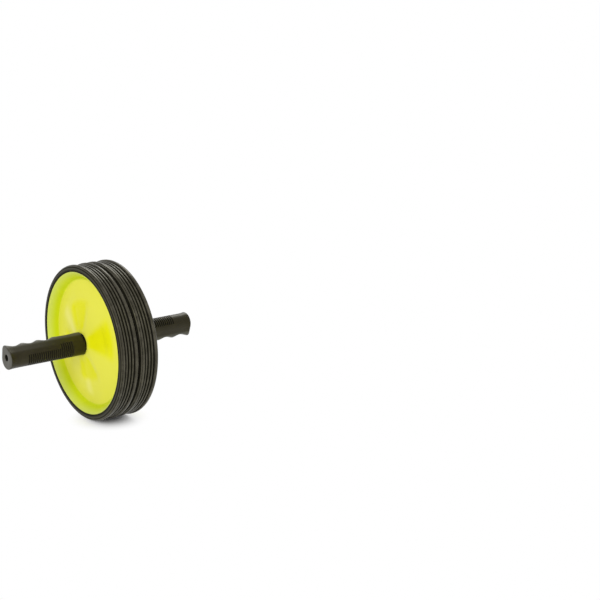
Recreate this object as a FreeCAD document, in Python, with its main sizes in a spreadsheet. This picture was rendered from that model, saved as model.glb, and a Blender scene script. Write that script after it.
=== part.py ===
import FreeCAD, Part
import math
import os
import re

import Sketcher

# Double ab wheel roller, in millimetres.
# The axle lies along Y, the wheels roll along X and Z is up. The origin is the middle of the axle.
# Right is the -Y side and left the +Y side. Every piece is drawn for the left side, and the right
# one is the same piece turned half round the Z axis. The wheels, and what keeps them in place on the
# axle, are then moved along it by the wheel shift.

# Driving dimensions. Radii are from the axle line, and plain lengths run along it unless they say so.
SIZES = {
    "axle_radius": 8.0,
    "axle_wall": 1.5,
    # Grips, pushed over the ends of the axle.
    "grip_length": 96.8,
    "grip_wall": 3.6,
    "palm_offset": 2.2,
    "crest_margin": 0.3,
    "crest_radius": 6.0,
    "grip_end_wall": 4.0,
    "grip_inner_round": 2.0,
    "grip_end_round": 0.9,
    "vent_radius": 4.0,
    "finger_margin": 2.0,
    "finger_pitch": 20.5,
    "finger_width": 19.0,
    "finger_depth": 2.4,
    "finger_rest_length": 30.0,
    "finger_rest_depth": 0.8,
    "grip_groove_margin": 23.9,
    "grip_groove_pitch": 2.75,
    "grip_groove_width": 1.3,
    "grip_groove_depth": 0.8,
    # Tyres.
    "wheel_shift": 1.5,
    "wheel_gap": 2.0,
    "tyre_radius": 95.2,
    "tyre_width": 24.6,
    "tyre_thickness": 8.1,
    "tread_depth": 3.0,
    "low_rib_drop": 1.4,
    "rib_spacing": 4.1,
    "rib_foot": 2.9,
    "rib_top": 1.9,
    "rib_crown": 0.45,
    "shoulder_drop": 3.5,
    "shoulder_round": 4.5,
    "key_width": 6.0,
    "key_depth": 1.4,
    # Hubs: a rim, a dished web in front and a boss for the outer bush.
    "rim_wall": 3.4,
    "rim_inset": 0.4,
    "lip_width": 0.9,
    "lip_round": 0.5,
    "dish_wall_run": 9.9,
    "dish_depth": 10.8,
    "dish_round": 1.5,
    "crown_margin": 0.5,
    "crown_rise": 0.2,
    "crown_round": 1.2,
    "web_thickness": 2.5,
    "boss_wall": 2.4,
    "fan_inner_margin": 4.5,
    "fan_outer_margin": 23.2,
    "fan_end_run": 4.0,
    "fan_depth": 0.8,
    "stiffener_thickness": 2.0,
    "stiffener_clearance": 0.5,
    "root_depth": 1.0,
    # Hub covers, which close the back of each wheel.
    "cover_ledge": 2.0,
    "cover_thickness": 3.0,
    # Screws that hold the covers, and the posts that take them.
    "screw_circle_radius": 50.0,
    "screw_radius": 2.0,
    "screw_head_radius": 3.6,
    "screw_head_height": 1.6,
    "screw_head_sink": 1.8,
    "screw_slot_width": 0.9,
    "screw_slot_depth": 0.8,
    "post_radius": 4.5,
    # Bushes, washers, retaining rings and the spacer on the axle.
    "bush_wall": 1.92,
    "bush_end_gap": 0.5,
    "flange_rim": 1.5,
    "flange_thickness": 1.5,
    "washer_rim": 3.0,
    "washer_thickness": 1.0,
    "ring_rim": 2.6,
    "ring_thickness": 1.2,
    "ring_groove_depth": 0.7,
    "spacer_wall": 3.0,
    "spacer_length": 5.5,
    # Clearances: what turns, what is pushed on, and what is only laid in.
    "running_clearance": 0.08,
    "axial_play": 0.25,
    "grip_gap": 0.3,
    "ring_gap": 0.2,
    "push_fit": 0.05,
    "loose_fit": 0.1,
    "flange_clearance": 1.1,
    "screw_hole_clearance": 0.25,
    "screw_tip_clearance": 1.0,
    "pilot_floor": 1.0,
    # How far a cut runs past the surface that it opens.
    "overrun": 2.0,
}

# Angles in degrees: how far a detail wraps round the axle, and how each piece is turned at rest.
ANGLES = {
    "grip_groove_wrap": 158.0,
    "thumb_groove_wrap": 200.0,
    "fan_wrap": 48.0,
    "ring_wrap": 300.0,
    "right_palm_turn": -64.0,
    "left_palm_turn": 105.0,
    "right_wheel_turn": 16.0,
    "left_wheel_turn": 40.0,
}

COUNTS = {
    "finger_count": 3,
    "grip_groove_count": 16,
    "thumb_groove_count": 6,
    "fan_count": 4,
    "screw_count": 6,
    "stiffener_count": 6,
}

# Two edges closer than this are one and the same.
SAME_PLACE = 1e-4

# Places along the axle. Those of the grips are measured from its middle, and the others from the
# middle plane between the wheels.
TYRE_INNER = "(wheel_gap / 2)"
TYRE_MIDDLE = "(wheel_gap / 2 + tyre_width / 2)"
TYRE_OUTER = "(wheel_gap / 2 + tyre_width)"
RIM_BACK = f"({TYRE_INNER} + rim_inset)"
RIM_FRONT = f"({TYRE_OUTER} - rim_inset)"
DISH_FLOOR = f"({RIM_FRONT} - dish_depth)"
CROWN_FACE = f"({RIM_FRONT} + crown_rise)"
GRIP_START = f"({CROWN_FACE} + wheel_shift + grip_gap)"
GRIP_END = f"({GRIP_START} + grip_length)"
AXLE_END = f"({GRIP_END} - grip_end_wall)"
RING_FACE = f"({CROWN_FACE} + grip_gap - ring_gap)"
RING_BACK = f"({RING_FACE} - ring_thickness)"
WASHER_BACK = f"({RING_BACK} - washer_thickness)"
OUTER_FLANGE_FACE = f"({WASHER_BACK} - axial_play)"
OUTER_FLANGE_SEAT = f"({OUTER_FLANGE_FACE} - flange_thickness)"
INNER_FLANGE_FACE = "(spacer_length / 2 + axial_play)"
INNER_FLANGE_SEAT = f"({INNER_FLANGE_FACE} + flange_thickness)"
COVER_TOP = f"({RIM_BACK} + cover_thickness)"
SCREW_SEAT = f"({RIM_BACK} + screw_head_sink)"

# Radii, from the axle outwards and from the tread inwards.
PALM_RADIUS = "(axle_radius + grip_wall)"
PALM_REACH = f"(palm_offset + {PALM_RADIUS})"
CREST_OFFSET = "(axle_radius + crest_margin)"
CREST_REACH = f"({CREST_OFFSET} + crest_radius)"
AXLE_PUSH = "(axle_radius + push_fit)"
BUSH_BORE = "(axle_radius + running_clearance)"
BUSH_RADIUS = f"({BUSH_BORE} + bush_wall)"
BUSH_SEAT = f"({BUSH_RADIUS} + push_fit)"
FLANGE_RADIUS = f"({BUSH_RADIUS} + flange_rim)"
BOSS_MOUTH = f"({FLANGE_RADIUS} + flange_clearance)"
BOSS_RADIUS = f"({BOSS_MOUTH} + boss_wall)"
CROWN_RADIUS = f"({BOSS_RADIUS} + crown_margin)"
TREAD_FLOOR = "(tyre_radius - tread_depth)"
RIM_RADIUS = "(tyre_radius - tyre_thickness)"
RIM_INNER = f"({RIM_RADIUS} - rim_wall)"
COVER_RADIUS = f"({RIM_RADIUS} - cover_ledge)"
DISH_RADIUS = f"({RIM_RADIUS} - dish_wall_run)"


def web_front(radius):
    """Place of the dished web's front face at a radius: a cone from the crown down to the dish floor."""
    slope = f"({CROWN_FACE} - {DISH_FLOOR}) / ({DISH_RADIUS} - {CROWN_RADIUS})"
    return f"({CROWN_FACE} - ({radius} - {CROWN_RADIUS}) * {slope})"


def web_back(radius):
    return f"({web_front(radius)} - web_thickness)"


def web_middle(radius):
    return f"({web_front(radius)} - web_thickness / 2)"


# The screws reach up their posts to a little under the back of the web.
PILOT_SIDE = "(screw_circle_radius + screw_radius + push_fit)"
PILOT_END = f"({web_back(PILOT_SIDE)} - pilot_floor)"
SCREW_TIP = f"({PILOT_END} - screw_tip_clearance)"


def arc_radius(chord, rise):
    """Radius of the arc that stands a rise above its chord."""
    return f"(({chord}) * ({chord}) / 4 + ({rise}) * ({rise})) / (2 * ({rise}))"


doc = FreeCAD.newDocument("ab_wheel_roller")
sheet = doc.addObject("Spreadsheet::Sheet", "Sizes")
for row, (name, number) in enumerate([*SIZES.items(), *ANGLES.items(), *COUNTS.items()], start=1):
    sheet.set(f"A{row}", name)
    sheet.set(f"B{row}", str(number))
    sheet.setAlias(f"B{row}", name)
doc.recompute()


def bound(text):
    """The same expression with each size read from the sheet."""
    return re.sub(r"([a-z_]+)", r"Sizes.\1", text)


def value(text):
    return float(sheet.evalExpression(text))


def origin_feature(body, role):
    return next(found for found in body.Origin.OriginFeatures if found.Role == role)


def new_sketch(body, name, plane="XY_Plane"):
    sketch = body.newObject("Sketcher::SketchObject", name)
    sketch.AttachmentSupport = [(origin_feature(body, plane), "")]
    sketch.MapMode = "FlatFace"
    return sketch


def hold(sketch, kind, ends, text):
    """Adds a dimension to the sketch and binds it to the sheet."""
    index = sketch.addConstraint(Sketcher.Constraint(kind, *ends, value(text)))
    sketch.setExpression(f"Constraints[{index}]", bound(text))


def pin_point(sketch, line, across, along):
    """Holds a line's first point at its two distances from the sketch's origin."""
    for kind, text, axis in (("DistanceX", across, -2), ("DistanceY", along, -1)):
        if text == "0":
            sketch.addConstraint(Sketcher.Constraint("PointOnObject", line, 1, axis))
        elif value(text) < 0:
            hold(sketch, kind, (line, 1, -1, 1), f"-({text})")
        else:
            hold(sketch, kind, (-1, 1, line, 1), text)


def arc_between(start, end, radius):
    """Arc from start to end that bulges to the right of the way it runs."""
    middle = (start + end) / 2
    run = end - start
    to_left = FreeCAD.Vector(-run.y, run.x, 0).normalize()
    centre = middle + to_left * math.sqrt(radius**2 - (run.Length / 2) ** 2)
    angles = [math.atan2(point.y - centre.y, point.x - centre.x) for point in (start, end)]
    return Part.ArcOfCircle(Part.Circle(centre, FreeCAD.Vector(0, 0, 1), radius), *angles)


def draw_outline(sketch, corners):
    """Draws a closed outline that runs with its inside on the left.
    A corner is (across, along), or (across, along, radius) where an arc of that radius leads to it."""
    points = [FreeCAD.Vector(value(corner[0]), value(corner[1]), 0) for corner in corners]
    lines = []
    for index, point in enumerate(points):
        following = (index + 1) % len(points)
        arc = corners[following][2:]
        if arc:
            edge = arc_between(point, points[following], value(arc[0]))
        else:
            edge = Part.LineSegment(point, points[following])
        lines.append(sketch.addGeometry(edge))
    for index, line in enumerate(lines):
        following = (index + 1) % len(lines)
        sketch.addConstraint(Sketcher.Constraint("Coincident", line, 2, lines[following], 1))
        pin_point(sketch, line, *corners[index][:2])
        arc = corners[following][2:]
        if arc:
            hold(sketch, "Radius", (line,), arc[0])


def turn_sketch(body, name, sketch, axis, kind, wrap):
    """Turns a sketch about one of its axes, all the way or by a wrap shared to both sides of it."""
    made = body.newObject("PartDesign::" + kind, name)
    made.Profile = sketch
    made.ReferenceAxis = (sketch, [axis])
    if wrap:
        made.Midplane = True
        made.setExpression("Angle", bound(wrap))
    return made


def turn(body, name, corners, kind="Revolution", wrap=None):
    """Turns an outline about the axle line."""
    sketch = new_sketch(body, name + "_outline")
    draw_outline(sketch, corners)
    return turn_sketch(body, name, sketch, "V_Axis", kind, wrap)


def turn_about(body, name, radius, corners, kind="Revolution", wrap=None):
    """Turns an outline about a line parallel to the axle, at a radius from it."""
    sketch = new_sketch(body, name + "_outline")
    draw_outline(sketch, corners)
    foot = FreeCAD.Vector(value(radius), 0, 0)
    head = FreeCAD.Vector(value(radius), value(corners[0][1]), 0)
    line = sketch.addGeometry(Part.LineSegment(foot, head), True)
    sketch.addConstraint(Sketcher.Constraint("Vertical", line))
    sketch.addConstraint(Sketcher.Constraint("PointOnObject", line, 1, -1))
    hold(sketch, "DistanceX", (-1, 1, line, 1), radius)
    hold(sketch, "DistanceY", (line, 1, line, 2), corners[0][1])
    return turn_sketch(body, name, sketch, "Axis0", kind, wrap)


def plate(body, name, corners, thickness, kind="Pad"):
    """Extends an outline to both sides of its plane, by half the thickness each way."""
    sketch = new_sketch(body, name + "_outline")
    draw_outline(sketch, corners)
    made = body.newObject("PartDesign::" + kind, name)
    made.Profile = sketch
    made.SideType = "Symmetric"
    made.setExpression("Length", bound(thickness))
    return made


def round_repeat(body, name, originals, count):
    pattern = body.newObject("PartDesign::PolarPattern", name)
    pattern.Originals = originals
    pattern.Axis = (origin_feature(body, "Y_Axis"), [""])
    pattern.setExpression("Occurrences", bound(count))
    body.Tip = pattern
    return pattern


def row_repeat(body, name, original, pitch, count):
    """Repeats a cut along the axle, towards the wheel."""
    pattern = body.newObject("PartDesign::LinearPattern", name)
    pattern.Originals = [original]
    pattern.Direction = (origin_feature(body, "Y_Axis"), [""])
    pattern.Reversed = True
    pattern.Mode = "Spacing"
    pattern.setExpression("Offset", bound(pitch))
    pattern.setExpression("Occurrences", bound(count))
    body.Tip = pattern
    return pattern


def ring_edges(shape, radius, along):
    """Names of the full-circle edges of a shape at a radius and a place along the axle."""
    names = []
    for index, edge in enumerate(shape.Edges, start=1):
        curve = edge.Curve
        if isinstance(curve, Part.Circle) and edge.isClosed():
            off_radius = abs(curve.Radius - value(radius))
            off_place = abs(curve.Center.y - value(along))
            if max(off_radius, off_place) < SAME_PLACE:
                names.append(f"Edge{index}")
    return names


def end_edges(shape, along):
    """Names of all edges of a shape that lie flat at a place along the axle."""
    names = []
    for index, edge in enumerate(shape.Edges, start=1):
        box = edge.BoundBox
        if max(abs(box.YMin - value(along)), abs(box.YMax - value(along))) < SAME_PLACE:
            names.append(f"Edge{index}")
    return names


def round_edges(body, name, base, names, size):
    made = body.newObject("PartDesign::Fillet", name)
    made.Base = (base, names)
    made.setExpression("Radius", bound(size))
    body.Tip = made
    return made


def round_rings(body, name, base, radius, along, size):
    """Rounds the circular edges at a radius and a place along the axle."""
    doc.recompute()
    return round_edges(body, name, base, ring_edges(base.Shape, radius, along), size)


def round_end(body, name, base, along, size):
    """Rounds the whole outline of a shape's end at a place along the axle."""
    doc.recompute()
    return round_edges(body, name, base, end_edges(base.Shape, along), size)


def new_body(name):
    return doc.addObject("PartDesign::Body", name)


def stand(body, side, turned=None, shift="wheel_shift"):
    """Puts a piece on its side of the roller. The turn is where its +X side points, from +X towards +Z."""
    half_turn = 0 if side == "left" else 180
    swap = FreeCAD.Rotation(FreeCAD.Vector(0, 0, 1), half_turn)
    points_at = value(turned) if turned else half_turn
    spin_angle = -points_at if side == "left" else points_at - half_turn
    spin = FreeCAD.Rotation(FreeCAD.Vector(0, 1, 0), spin_angle)
    body.Placement = FreeCAD.Placement(FreeCAD.Vector(0, value(shift), 0), swap.multiply(spin))


def make_axle():
    """Steel tube with a groove near each wheel for the retaining ring."""
    body = new_body("axle_tube")
    sketch = new_sketch(body, "axle_section", "XZ_Plane")
    for radius in ("axle_radius", "(axle_radius - axle_wall)"):
        circle = Part.Circle(FreeCAD.Vector(), FreeCAD.Vector(0, 0, 1), value(radius))
        line = sketch.addGeometry(circle)
        sketch.addConstraint(Sketcher.Constraint("Coincident", line, 3, -1, 1))
        hold(sketch, "Radius", (line,), radius)
    tube = body.newObject("PartDesign::Pad", "axle_length")
    tube.Profile = sketch
    tube.SideType = "Symmetric"
    tube.setExpression("Length", bound(f"2 * {AXLE_END}"))
    floor = "(axle_radius - ring_groove_depth)"
    past = "(axle_radius + overrun)"
    near = f"({RING_BACK} - loose_fit)"
    far = f"({RING_FACE} + loose_fit)"
    places = {
        "left": (f"(wheel_shift + {near})", f"(wheel_shift + {far})"),
        "right": (f"(wheel_shift - {far})", f"(wheel_shift - {near})"),
    }
    for side, (low, high) in places.items():
        corners = [(floor, low), (past, low), (past, high), (floor, high)]
        body.Tip = turn(body, f"{side}_ring_groove", corners, "Groove")


def make_spacer():
    """Plastic ring on the axle that keeps the two wheels apart."""
    body = new_body("centre_spacer")
    sketch = new_sketch(body, "spacer_section", "XZ_Plane")
    for radius in ("(axle_radius + spacer_wall)", AXLE_PUSH):
        circle = Part.Circle(FreeCAD.Vector(), FreeCAD.Vector(0, 0, 1), value(radius))
        line = sketch.addGeometry(circle)
        sketch.addConstraint(Sketcher.Constraint("Coincident", line, 3, -1, 1))
        hold(sketch, "Radius", (line,), radius)
    ring = body.newObject("PartDesign::Pad", "spacer_width")
    ring.Profile = sketch
    ring.SideType = "Symmetric"
    ring.setExpression("Length", bound("spacer_length"))
    stand(body, "left")


def make_washer(side):
    body = new_body(f"{side}_thrust_washer")
    bore = "(axle_radius + loose_fit)"
    edge = "(axle_radius + washer_rim)"
    corners = [(bore, WASHER_BACK), (edge, WASHER_BACK), (edge, RING_BACK), (bore, RING_BACK)]
    turn(body, "washer", corners)
    stand(body, side)


def make_retaining_ring(side):
    """Open spring ring that snaps into the axle's groove."""
    body = new_body(f"{side}_retaining_ring")
    bore = "(axle_radius - ring_groove_depth + push_fit)"
    edge = "(axle_radius + ring_rim)"
    corners = [(bore, RING_BACK), (edge, RING_BACK), (edge, RING_FACE), (bore, RING_FACE)]
    turn(body, "ring", corners, wrap="ring_wrap")
    stand(body, side)


def make_bush(side, place, face, seat, end):
    """Flanged plain bush: its flange lies in the mouth of a boss and its barrel lines the boss."""
    body = new_body(f"{side}_{place}_bush")
    corners = [
        (BUSH_BORE, end),
        (BUSH_RADIUS, end),
        (BUSH_RADIUS, seat),
        (FLANGE_RADIUS, seat),
        (FLANGE_RADIUS, face),
        (BUSH_BORE, face),
    ]
    if place == "inner":
        corners.reverse()
    turn(body, "bush", corners)
    stand(body, side, f"{side}_wheel_turn")


def tyre_corners():
    """Cross-section of a tyre: two tall ribs with rounded shoulders, low ribs between them,
    and a key on the inside that sits in the groove of the rim."""
    bore = f"({RIM_RADIUS} + push_fit)"
    key_tip = f"({RIM_RADIUS} - key_depth + push_fit)"
    shoulder = "(tyre_radius - shoulder_drop)"
    crown = arc_radius("rib_top", "rib_crown")
    tall_top = "(tyre_radius - rib_crown)"
    low_top = "(tyre_radius - low_rib_drop - rib_crown)"

    def beside(ribs, offset="0"):
        return f"({TYRE_MIDDLE} + {ribs} * rib_spacing + {offset})"

    corners = [
        (bore, TYRE_INNER),
        (shoulder, TYRE_INNER),
        (tall_top, beside(-2, "-rib_top / 2"), "shoulder_round"),
        (tall_top, beside(-2, "rib_top / 2"), crown),
        (TREAD_FLOOR, beside(-2, "rib_foot / 2")),
    ]
    for rib in (-1, 0, 1):
        corners += [
            (TREAD_FLOOR, beside(rib, "-rib_foot / 2")),
            (low_top, beside(rib, "-rib_top / 2")),
            (low_top, beside(rib, "rib_top / 2"), crown),
            (TREAD_FLOOR, beside(rib, "rib_foot / 2")),
        ]
    corners += [
        (TREAD_FLOOR, beside(2, "-rib_foot / 2")),
        (tall_top, beside(2, "-rib_top / 2")),
        (tall_top, beside(2, "rib_top / 2"), crown),
        (shoulder, TYRE_OUTER, "shoulder_round"),
        (bore, TYRE_OUTER),
        (bore, f"({TYRE_MIDDLE} + key_width / 2)"),
        (key_tip, f"({TYRE_MIDDLE} + key_width / 2)"),
        (key_tip, f"({TYRE_MIDDLE} - key_width / 2)"),
        (bore, f"({TYRE_MIDDLE} - key_width / 2)"),
    ]
    return corners


def make_tyre(side):
    body = new_body(f"{side}_tyre")
    turn(body, "tyre", tyre_corners())
    stand(body, side, f"{side}_wheel_turn")


def make_hub(side):
    """Hub moulding: rim, dished web with shallow fans in its face, boss, screw posts and stiffeners."""
    body = new_body(f"{side}_hub")
    cover_seat = f"({COVER_RADIUS} + loose_fit)"
    key_low = f"({TYRE_MIDDLE} - key_width / 2 - push_fit)"
    key_high = f"({TYRE_MIDDLE} + key_width / 2 + push_fit)"
    key_floor = f"({RIM_RADIUS} - key_depth)"
    corners = [
        (BUSH_SEAT, TYRE_MIDDLE),
        (BOSS_RADIUS, TYRE_MIDDLE),
        (BOSS_RADIUS, web_back(BOSS_RADIUS)),
        (RIM_INNER, web_back(RIM_INNER)),
        (RIM_INNER, COVER_TOP),
        (cover_seat, COVER_TOP),
        (cover_seat, RIM_BACK),
        (RIM_RADIUS, RIM_BACK),
        (RIM_RADIUS, key_low),
        (key_floor, key_low),
        (key_floor, key_high),
        (RIM_RADIUS, key_high),
        (RIM_RADIUS, f"({RIM_FRONT} - lip_round)"),
        (f"({RIM_RADIUS} - lip_round)", RIM_FRONT, "lip_round"),
        (f"({RIM_RADIUS} - lip_width)", RIM_FRONT),
        (DISH_RADIUS, DISH_FLOOR),
        (CROWN_RADIUS, CROWN_FACE),
        (BOSS_MOUTH, CROWN_FACE),
        (BOSS_MOUTH, OUTER_FLANGE_SEAT),
        (BUSH_SEAT, OUTER_FLANGE_SEAT),
    ]
    shell = turn(body, "shell", corners)
    foot = round_rings(body, "dish_foot", shell, DISH_RADIUS, DISH_FLOOR, "dish_round")
    round_rings(body, "crown_edge", foot, CROWN_RADIUS, CROWN_FACE, "crown_round")

    fan_start = f"({CROWN_RADIUS} + fan_inner_margin)"
    fan_end = f"({DISH_RADIUS} - fan_outer_margin)"
    floor_start = f"({fan_start} + fan_end_run)"
    floor_end = f"({fan_end} - fan_end_run)"
    fan_corners = [
        (fan_start, web_front(fan_start)),
        (floor_start, f"({web_front(floor_start)} - fan_depth)"),
        (floor_end, f"({web_front(floor_end)} - fan_depth)"),
        (fan_end, web_front(fan_end)),
        (fan_end, f"({web_front(fan_end)} + overrun)"),
        (fan_start, f"({web_front(fan_start)} + overrun)"),
    ]
    fan = turn(body, "fan", fan_corners, "Groove", "fan_wrap")
    round_repeat(body, "fans", [fan], "fan_count")

    post_side = "(screw_circle_radius + post_radius)"
    post_top = web_middle("screw_circle_radius")
    post_corners = [
        ("screw_circle_radius", COVER_TOP),
        (post_side, COVER_TOP),
        (post_side, post_top),
        ("screw_circle_radius", post_top),
    ]
    post = turn_about(body, "post", "screw_circle_radius", post_corners)
    round_repeat(body, "posts", [post], "screw_count")

    inside = f"({BOSS_RADIUS} + stiffener_clearance)"
    outside = f"({RIM_INNER} + root_depth)"
    stiffener_corners = [
        (inside, COVER_TOP),
        (outside, COVER_TOP),
        (outside, web_middle(DISH_RADIUS)),
        (inside, web_middle(inside)),
    ]
    stiffener = plate(body, "stiffener", stiffener_corners, "stiffener_thickness")
    round_repeat(body, "stiffeners", [stiffener], "stiffener_count")

    pilot_corners = [
        ("screw_circle_radius", f"({COVER_TOP} - overrun)"),
        (PILOT_SIDE, f"({COVER_TOP} - overrun)"),
        (PILOT_SIDE, PILOT_END),
        ("screw_circle_radius", PILOT_END),
    ]
    pilot = turn_about(body, "pilot_hole", "screw_circle_radius", pilot_corners, "Groove")
    round_repeat(body, "pilot_holes", [pilot], "screw_count")
    stand(body, side, f"{side}_wheel_turn")


def make_cover(side):
    """Back cover: a plate in the rim's rebate, a boss for the inner bush and sunk screw holes."""
    body = new_body(f"{side}_hub_cover")
    corners = [
        (BOSS_MOUTH, RIM_BACK),
        (COVER_RADIUS, RIM_BACK),
        (COVER_RADIUS, COVER_TOP),
        (BOSS_RADIUS, COVER_TOP),
        (BOSS_RADIUS, TYRE_MIDDLE),
        (BUSH_SEAT, TYRE_MIDDLE),
        (BUSH_SEAT, INNER_FLANGE_SEAT),
        (BOSS_MOUTH, INNER_FLANGE_SEAT),
    ]
    turn(body, "cover", corners)
    stem = "(screw_circle_radius + screw_radius + screw_hole_clearance)"
    head = "(screw_circle_radius + screw_head_radius + screw_hole_clearance)"
    hole_corners = [
        ("screw_circle_radius", f"({RIM_BACK} - overrun)"),
        (head, f"({RIM_BACK} - overrun)"),
        (head, SCREW_SEAT),
        (stem, SCREW_SEAT),
        (stem, f"({COVER_TOP} + overrun)"),
        ("screw_circle_radius", f"({COVER_TOP} + overrun)"),
    ]
    hole = turn_about(body, "screw_hole", "screw_circle_radius", hole_corners, "Groove")
    round_repeat(body, "screw_holes", [hole], "screw_count")
    stand(body, side, f"{side}_wheel_turn")


def make_screws(side):
    """Ring of slotted pan-head screws, driven from the back of the wheel."""
    body = new_body(f"{side}_hub_screws")
    stem = "(screw_circle_radius + screw_radius)"
    head = "(screw_circle_radius + screw_head_radius)"
    head_face = f"({SCREW_SEAT} - screw_head_height)"
    corners = [
        ("screw_circle_radius", head_face),
        (head, head_face),
        (head, SCREW_SEAT),
        (stem, SCREW_SEAT),
        (stem, SCREW_TIP),
        ("screw_circle_radius", SCREW_TIP),
    ]
    screw = turn_about(body, "screw", "screw_circle_radius", corners)
    slot_start = "(screw_circle_radius - screw_head_radius - overrun)"
    slot_end = "(screw_circle_radius + screw_head_radius + overrun)"
    slot_corners = [
        (slot_start, f"({head_face} - overrun)"),
        (slot_end, f"({head_face} - overrun)"),
        (slot_end, f"({head_face} + screw_slot_depth)"),
        (slot_start, f"({head_face} + screw_slot_depth)"),
    ]
    slot = plate(body, "screw_slot", slot_corners, "screw_slot_width", "Pocket")
    round_repeat(body, "screws", [screw, slot], "screw_count")
    stand(body, side, f"{side}_wheel_turn")


def make_sleeve(body):
    """Sleeve of a grip: across the axle it is round on the side of the palm and narrows to a crest
    on the side of the fingers."""
    lean = f"(({PALM_RADIUS} - crest_radius) / (palm_offset + {CREST_OFFSET}))"
    rise = f"(1 - {lean} * {lean})^0.5"
    palm_end = f"(palm_offset - {PALM_RADIUS} * {lean})"
    palm_side = f"({PALM_RADIUS} * {rise})"
    crest_end = f"(-{CREST_OFFSET} - crest_radius * {lean})"
    crest_side = f"(crest_radius * {rise})"
    corners = [
        (crest_end, f"(-{crest_side})", "crest_radius"),
        (palm_end, f"(-{palm_side})"),
        (PALM_REACH, "0", PALM_RADIUS),
        (palm_end, palm_side, PALM_RADIUS),
        (crest_end, crest_side),
    ]
    sketch = new_sketch(body, "sleeve_section", "XZ_Plane")
    sketch.setExpression("AttachmentOffset.Base.z", bound(f"-({GRIP_START} + {GRIP_END}) / 2"))
    draw_outline(sketch, corners)
    sleeve = body.newObject("PartDesign::Pad", "sleeve")
    sleeve.Profile = sketch
    sleeve.SideType = "Symmetric"
    sleeve.setExpression("Length", bound("grip_length"))
    inner = round_end(body, "inner_edge", sleeve, GRIP_START, "grip_inner_round")
    round_end(body, "end_edge", inner, GRIP_END, "grip_end_round")
    bore_corners = [
        ("0", f"({GRIP_START} - overrun)"),
        (AXLE_PUSH, f"({GRIP_START} - overrun)"),
        (AXLE_PUSH, AXLE_END),
        ("vent_radius", AXLE_END),
        ("vent_radius", f"({GRIP_END} + overrun)"),
        ("0", f"({GRIP_END} + overrun)"),
    ]
    body.Tip = turn(body, "bore", bore_corners, "Groove")


def make_hollow(body, name, outer_end, length, depth):
    """Hollow for a finger across the crest of a grip, from its outer end towards the wheel."""
    low = f"({outer_end} - {length})"
    away = f"-({CREST_REACH} + overrun)"
    corners = [
        (away, low),
        (f"-{CREST_REACH}", low),
        (f"-{CREST_REACH}", outer_end, arc_radius(length, depth)),
        (away, outer_end),
    ]
    body.Tip = plate(body, name, corners, f"2 * ({PALM_RADIUS} + overrun)", "Pocket")
    return body.Tip


def keep_seams(body):
    """Leaves the faces of a piece split where its outline is. Merged round all the grooves, the face
    of the palm would have them as holes, and such a face meshes badly."""
    for feature in body.Group:
        if "Refine" in feature.PropertiesList:
            feature.Refine = False


def make_grip(side):
    """Moulded grip: finger hollows along its crest and fine cross grooves on the side of the palm,
    which reach further round near the wheel, where the thumb lies."""
    body = new_body(f"{side}_grip")
    make_sleeve(body)
    first_end = f"({GRIP_END} - finger_margin - (finger_pitch - finger_width) / 2)"
    finger = make_hollow(body, "finger", first_end, "finger_width", "finger_depth")
    row_repeat(body, "fingers", finger, "finger_pitch", "finger_count")
    rest_end = f"({GRIP_END} - finger_margin - finger_count * finger_pitch)"
    make_hollow(body, "finger_rest", rest_end, "finger_rest_length", "finger_rest_depth")

    floor = f"({PALM_REACH} - grip_groove_depth)"
    past = f"({PALM_REACH} + overrun)"
    rows = (
        ("groove", "0", "grip_groove_wrap", "grip_groove_count"),
        ("thumb_groove", "grip_groove_count", "thumb_groove_wrap", "thumb_groove_count"),
    )
    for name, before, wrap, count in rows:
        middle = f"({GRIP_END} - grip_groove_margin - {before} * grip_groove_pitch)"
        low = f"({middle} - grip_groove_width / 2)"
        high = f"({middle} + grip_groove_width / 2)"
        groove_corners = [(floor, low), (past, low), (past, high), (floor, high)]
        groove = turn_about(body, name, "palm_offset", groove_corners, "Groove", wrap)
        row_repeat(body, name + "s", groove, "grip_groove_pitch", count)
    keep_seams(body)
    stand(body, side, f"{side}_palm_turn", "0")


make_axle()
make_spacer()
for side in ("right", "left"):
    make_grip(side)
    make_retaining_ring(side)
    make_washer(side)
    make_tyre(side)
    make_hub(side)
    make_cover(side)
    make_screws(side)
    outer_end = f"({TYRE_MIDDLE} + bush_end_gap)"
    make_bush(side, "outer", OUTER_FLANGE_FACE, OUTER_FLANGE_SEAT, outer_end)
    inner_end = f"({TYRE_MIDDLE} - bush_end_gap)"
    make_bush(side, "inner", INNER_FLANGE_FACE, INNER_FLANGE_SEAT, inner_end)
doc.recompute()

for found in doc.Objects:
    if "Invalid" in found.State or "Error" in found.State:
        raise RuntimeError(f"{found.Label} failed: {found.State}")

bodies = [found for found in doc.Objects if found.TypeId == "PartDesign::Body"]
for body in bodies:
    if body.Shape.isNull() or not body.Shape.isValid():
        raise RuntimeError(f"{body.Label} has no valid shape")

os.makedirs("parts", exist_ok=True)
for body in bodies:
    body.Shape.exportStep(f"parts/{body.Label}.step")
    print(f"{body.Label}: {len(body.Shape.Solids)} solids, {body.Shape.Volume:.1f} cubic mm")
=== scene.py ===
# %% [markdown]
# # A double ab wheel roller
# Two ribbed tyres on dished lime hubs turn on one axle, and a moulded grip is pushed over each end of it.
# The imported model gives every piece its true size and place. This lesson models the pieces that show
# (tyres, hubs and grips) as smooth meshes, and gives every piece a finish with some life in it.

# %% Load the frame
import math

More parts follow.
